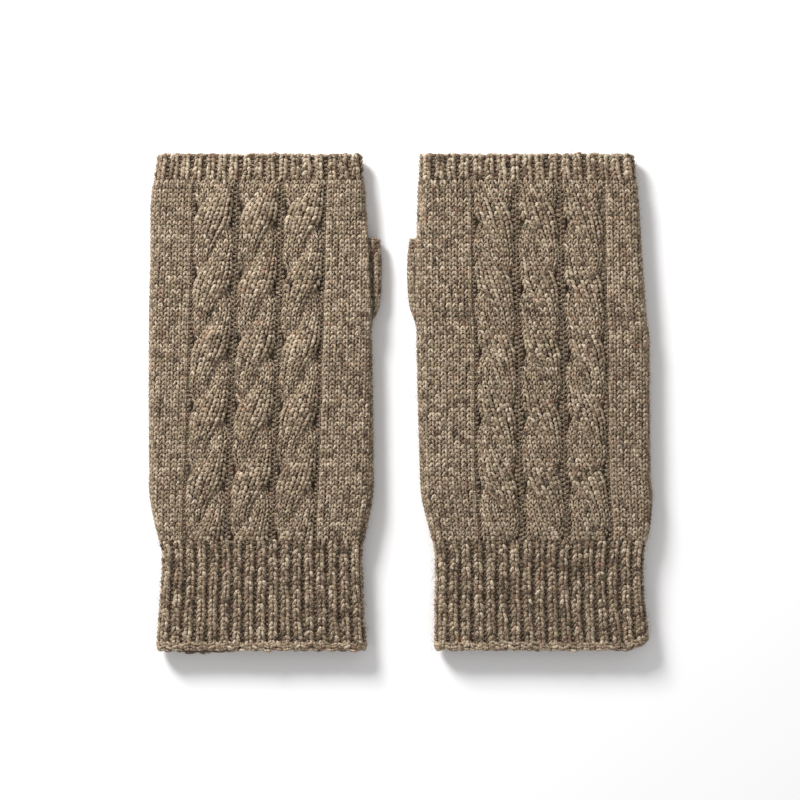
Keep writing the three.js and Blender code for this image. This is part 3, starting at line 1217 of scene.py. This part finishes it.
for hand, thumb in zip(hands, thumbs):
    bodies = [hand.name + "_hand", hand.name + "_thumb"]

    def place(wale, y, thumb=thumb):
        return wale * thumb.around(y) / THUMB_WALES

    def lift(wale, y, hand=hand, thumb=thumb):
        """The left thumb folds down into a slot beside the hand's edge: real shade and painted shade.
        """
        s = wale * thumb.around(y) / THUMB_WALES
        x = thumb.read(thumb.centre, y) + s
        past_edge = x - hand.read(hand.centre, y) - hand.read(hand.half_width, y)
        on_top = np.abs(s) < thumb.around(y) / 4
        fold = 1 - step(past_edge, 0.8, 3.4)
        return -THUMB_FOLD * fold * on_top * (hand.thumb_side > 0)

    def width(y, thumb=thumb):
        return THUMB_LEG * thumb.around(y) / THUMB_WALES

    wales = np.arange(THUMB_WALES) - THUMB_WALES / 2
    low_rows = np.arange(CROTCH + 2, THUMB_ROOT - 0.9, THUMB_COURSE)
    gusset = knit(thumb, place, lift, wales, low_rows, THUMB_COURSE, width)
    piece = lay(hand.name + "_gusset_knit", gusset, face_yarn, hand_wool)
    keep(piece, bodies[:1], "wool", [hand.name + "_thumb_gusset"])
    tube_rows = np.arange(low_rows[-1] + THUMB_COURSE, THUMB_RIB - 0.4, THUMB_COURSE)
    body = knit(thumb, place, lift, wales, tube_rows, THUMB_COURSE, width)
    piece = lay(hand.name + "_thumb_knit", body, face_yarn, hand_wool)
    keep(piece, bodies, "wool", [hand.name + "_thumb_tube"], "thumb")
    rib = rib_guides(
        *(thumb, THUMB_PERIODS, tube_rows[-1] + 1, THUMB_END - 0.7, THUMB_RIB_COURSES),
        deep=THUMB_RIB_DEEP,
    )
    rib += edge_guides(thumb, THUMB_END - 0.8, THUMB_WALES, THUMB_EDGE_YARN, -0.05)
    piece = lay(hand.name + "_thumb_rib_knit", rib, face_yarn, rib_wool)
    keep(piece, bodies, "rib_wool", [hand.name + "_thumb_rib"], "thumb")

# %% [markdown]
# ## Inside of the fabric
# Between the stitches of the face one sees the loops behind them. A thin closed shell just
# under the face stands for that back layer, and it is what shows inside the openings.

# %% Linings
# How deep the shell's two sides lie, and how much deeper under the pattern and elsewhere
FACE_SIDE = -0.5
BACK_SIDE = -1.5
UNDER_PATTERN = -1.3
UNDER_PLAIN = -0.1
HAND_COLUMNS = 4 * RIB_PERIODS
THUMB_COLUMNS = 40


def lining(name, tube, heights, columns, lift, wool):
    """A closed double-walled tube under the face stitches."""
    turn = np.arange(columns) / columns
    grid_y, grid_t = np.meshgrid(heights, turn, indexing="ij")
    y, t = grid_y.ravel(), grid_t.ravel()
    walls = [tube.at(t * tube.around(y), y, lift(t, y) + deep)[0] for deep in (FACE_SIDE, BACK_SIDE)]
    points = np.concatenate(walls) * MM
    n, count = len(heights), len(y)
    faces = []
    for r in range(n - 1):
        for c in range(columns):
            d = (c + 1) % columns
            a, b = r * columns + c, r * columns + d
            faces.append((a, a + columns, b + columns, b))
            faces.append((count + a, count + b, count + b + columns, count + a + columns))
    for c in range(columns):
        d = (c + 1) % columns
        top = (n - 1) * columns
        faces.append((c, d, count + d, count + c))
        faces.append((top + c, count + top + c, count + top + d, top + d))
    mesh = bpy.data.meshes.new(name)
    mesh.from_pydata(points.tolist(), [], faces)
    face_outwards(mesh)
    mesh.polygons.foreach_set("use_smooth", np.ones(len(mesh.polygons), bool))
    shade = np.clip(0.5 + 0.15 * chance.normal(size=len(points)), 0, 1)
    write_points(mesh, "tone", shade)
    mesh.materials.append(wool)
    piece = bpy.data.objects.new(name, mesh)
    scene.collection.objects.link(piece)
    print(name, len(faces), "faces")
    return piece


for hand, thumb in zip(hands, thumbs):

    def lift(turn, y):
        ribbed = (y < WRIST_LINE) | (y > HAND_TOP)
        patterned = np.minimum(turn, 1 - turn) * hand.around(y) < PATTERN_EDGE + 1
        sunk = np.where(patterned, UNDER_PATTERN, UNDER_PLAIN)
        return np.where(ribbed, rib_lift(turn * RIB_PERIODS, y), sunk)

    heights = np.concatenate(
        [
            np.linspace(WRIST_END + 0.8, WRIST_LINE - 0.2, 13),
            np.linspace(WRIST_LINE + 0.2, HAND_TOP - 0.2, 55),
            np.linspace(HAND_TOP + 0.2, FINGER_END - 0.8, 5),
        ]
    )
    piece = lining(hand.name + "_lining", hand, heights, HAND_COLUMNS, lift, lining_wool)
    keep(piece, [hand.name + "_hand", hand.name + "_cuff"], "wool", (), "wrist")
    piece = lining(
        hand.name + "_thumb_lining",
        thumb,
        np.linspace(CROTCH + 2, THUMB_END - 0.8, 16),
        THUMB_COLUMNS,
        lambda turn, y: 0 * y,
        lining_wool,
    )
    keep(piece, [hand.name + "_hand", hand.name + "_thumb"], "wool", (), "thumb")

# %% [markdown]
# ## Side seams
# The panels are linked along the little-finger side with a chain of the same yarn, which
# stays inside the tube. It follows the CAD seam.

# %% Chain stitches of the seams
SEAM_STITCH = 2.6


def seam_guides(node):
    """Two rows of leaning loops along the middle of a CAD seam, one facing up and one down."""
    points = corners(node)
    found = rows(points, SEAM_LEAST)
    y = np.arange(found[0, 0] + 1, found[-1, 0] - 1, SEAM_STITCH)
    x = np.interp(y, found[:, 0], (found[:, 1] + found[:, 2]) / 2)
    z = (points[:, 2].min() + points[:, 2].max()) / 2
    guides = []
    for side in (-1, 1):
        first = np.stack([x - 0.1 * side, y - 0.62 * SEAM_STITCH, np.full_like(y, z + 0.5 * side)], -1)
        second = np.stack([x + 0.3 * side, y + 0.62 * SEAM_STITCH, np.full_like(y, z + 0.1 * side)], -1)
        length = np.linalg.norm(second - first, axis=-1)
        out = np.tile([0.0, 0.0, 1.0 * side], (len(y), 1))
        size = np.stack([np.full_like(y, 1.2), length * ARCH_SPARE, np.full_like(y, 1.1)], -1)
        guides.append(
            {
                "at": (first + second) / 2,
                "outward": out,
                "along": unit(second - first),
                "size": size,
                "tone": np.clip(0.5 + 0.15 * chance.normal(size=len(y)), 0, 1),
            }
        )
    return guides


for hand in hands:
    node = hand.name + "_side_seam"
    piece = lay(node + "_chain", seam_guides(node), palm_yarn, seam_yarn)
    keep(piece, [hand.name + "_hand"], "seam_yarn", [node])
    node = hand.name + "_wrist_seam"
    piece = lay(node + "_chain", seam_guides(node), palm_yarn, seam_yarn)
    keep(piece, [hand.name + "_hand", hand.name + "_cuff"], "seam_yarn", [node], "wrist")

# %% [markdown]
# ## Loose fibres
# Brushed wool has a halo of fibre ends, scattered over the fabric and leaning every way. A
# real one is two or three hundredths of a millimetre thick, which is too fine to show. So
# they are drawn coarser here, about two or three times as thick, and fewer.

# %% Scatter the fibres
FIBRES = 8200
THUMB_FIBRES = 340
# The shortest and the longest, in mm, and how steeply they stand off the wool
FIBRE_LENGTHS = (1.2, 3.4)
FIBRE_SLOPES = (0.05, 0.75)
# How far above the yarn's middle a fibre starts
FIBRE_LIFT = 0.45
# Below this height a fibre lies flat, so that none pokes through the paper
RESTING = 2


def fibre_guides(tube, count, start, end):
    """Fibres scattered round a tube between two heights, each as thick as its length gives."""
    y = chance.uniform(start, end, count)
    s = chance.uniform(0, 1, count) * tube.around(y)
    at, out = tube.at(s, y, FIBRE_LIFT)
    lean = chance.normal(size=(count, 3))
    lean = unit(lean - (lean * out).sum(-1)[:, None] * out)
    along = unit(lean + chance.uniform(*FIBRE_SLOPES, count)[:, None] * out)
    resting = at[:, 2] < RESTING
    along[resting, 2] = 0.05 * np.abs(along[resting, 2])
    along = unit(along)
    at[:, 2] = np.maximum(at[:, 2], 0.1)
    long = chance.uniform(*FIBRE_LENGTHS, count)
    outward = unit(out - (out * along).sum(-1)[:, None] * along)
    return [
        {
            "at": at + along * long[:, None] * 0.35,
            "outward": outward,
            "along": along,
            "size": np.stack([long] * 3, -1),
            "tone": chance.uniform(0, 1, count),
        }
    ]


for hand, thumb in zip(hands, thumbs):
    bodies = [hand.name + "_hand", hand.name + "_cuff"]
    fuzz = fibre_guides(hand, FIBRES, WRIST_END, FINGER_END)
    keep(lay(hand.name + "_fuzz", fuzz, loose_fibre, fuzz_wool), bodies, "wool", (), "wrist")
    fuzz = fibre_guides(thumb, THUMB_FIBRES, GUSSET_FOOT, THUMB_END)
    piece = lay(hand.name + "_thumb_fuzz", fuzz, loose_fibre, fuzz_wool)
    keep(piece, [bodies[0], hand.name + "_thumb"], "wool", (), "thumb")

# %% [markdown]
# ## Riding on the frame
# The hand pieces ride on the hand's body. What runs into the cuff, such as the wrist rib and
# its seam, and the thumb pieces have their place baked into their meshes and ride on no body.

# %% Attach the pieces that ride on one body
# Over how many mm the wool would bend at the wrist and at the root of the thumb; these spans are not
# applied
WRIST_BEND = 14
THUMB_BEND = 8
BENDS = {
    "wrist": ((0, WRIST_LINE * MM, 0), (0, (WRIST_LINE - WRIST_BEND) * MM, 0)),
    "thumb": ((0, THUMB_ROOT * MM, 0), (0, (THUMB_ROOT + THUMB_BEND) * MM, 0)),
}
for piece, bodies, slot, nodes, bend in pieces:
    if bend:
        bodies[0]
        bodies[1]
        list(BENDS[bend])
        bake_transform(piece)
    else:
        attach(piece, bodies[0])
    if nodes:
        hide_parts(*nodes)
print(len(pieces), "pieces, left over:", [n for n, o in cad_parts.items() if not o.hide_render])

# %% Update the scene
bpy.context.view_layer.update()
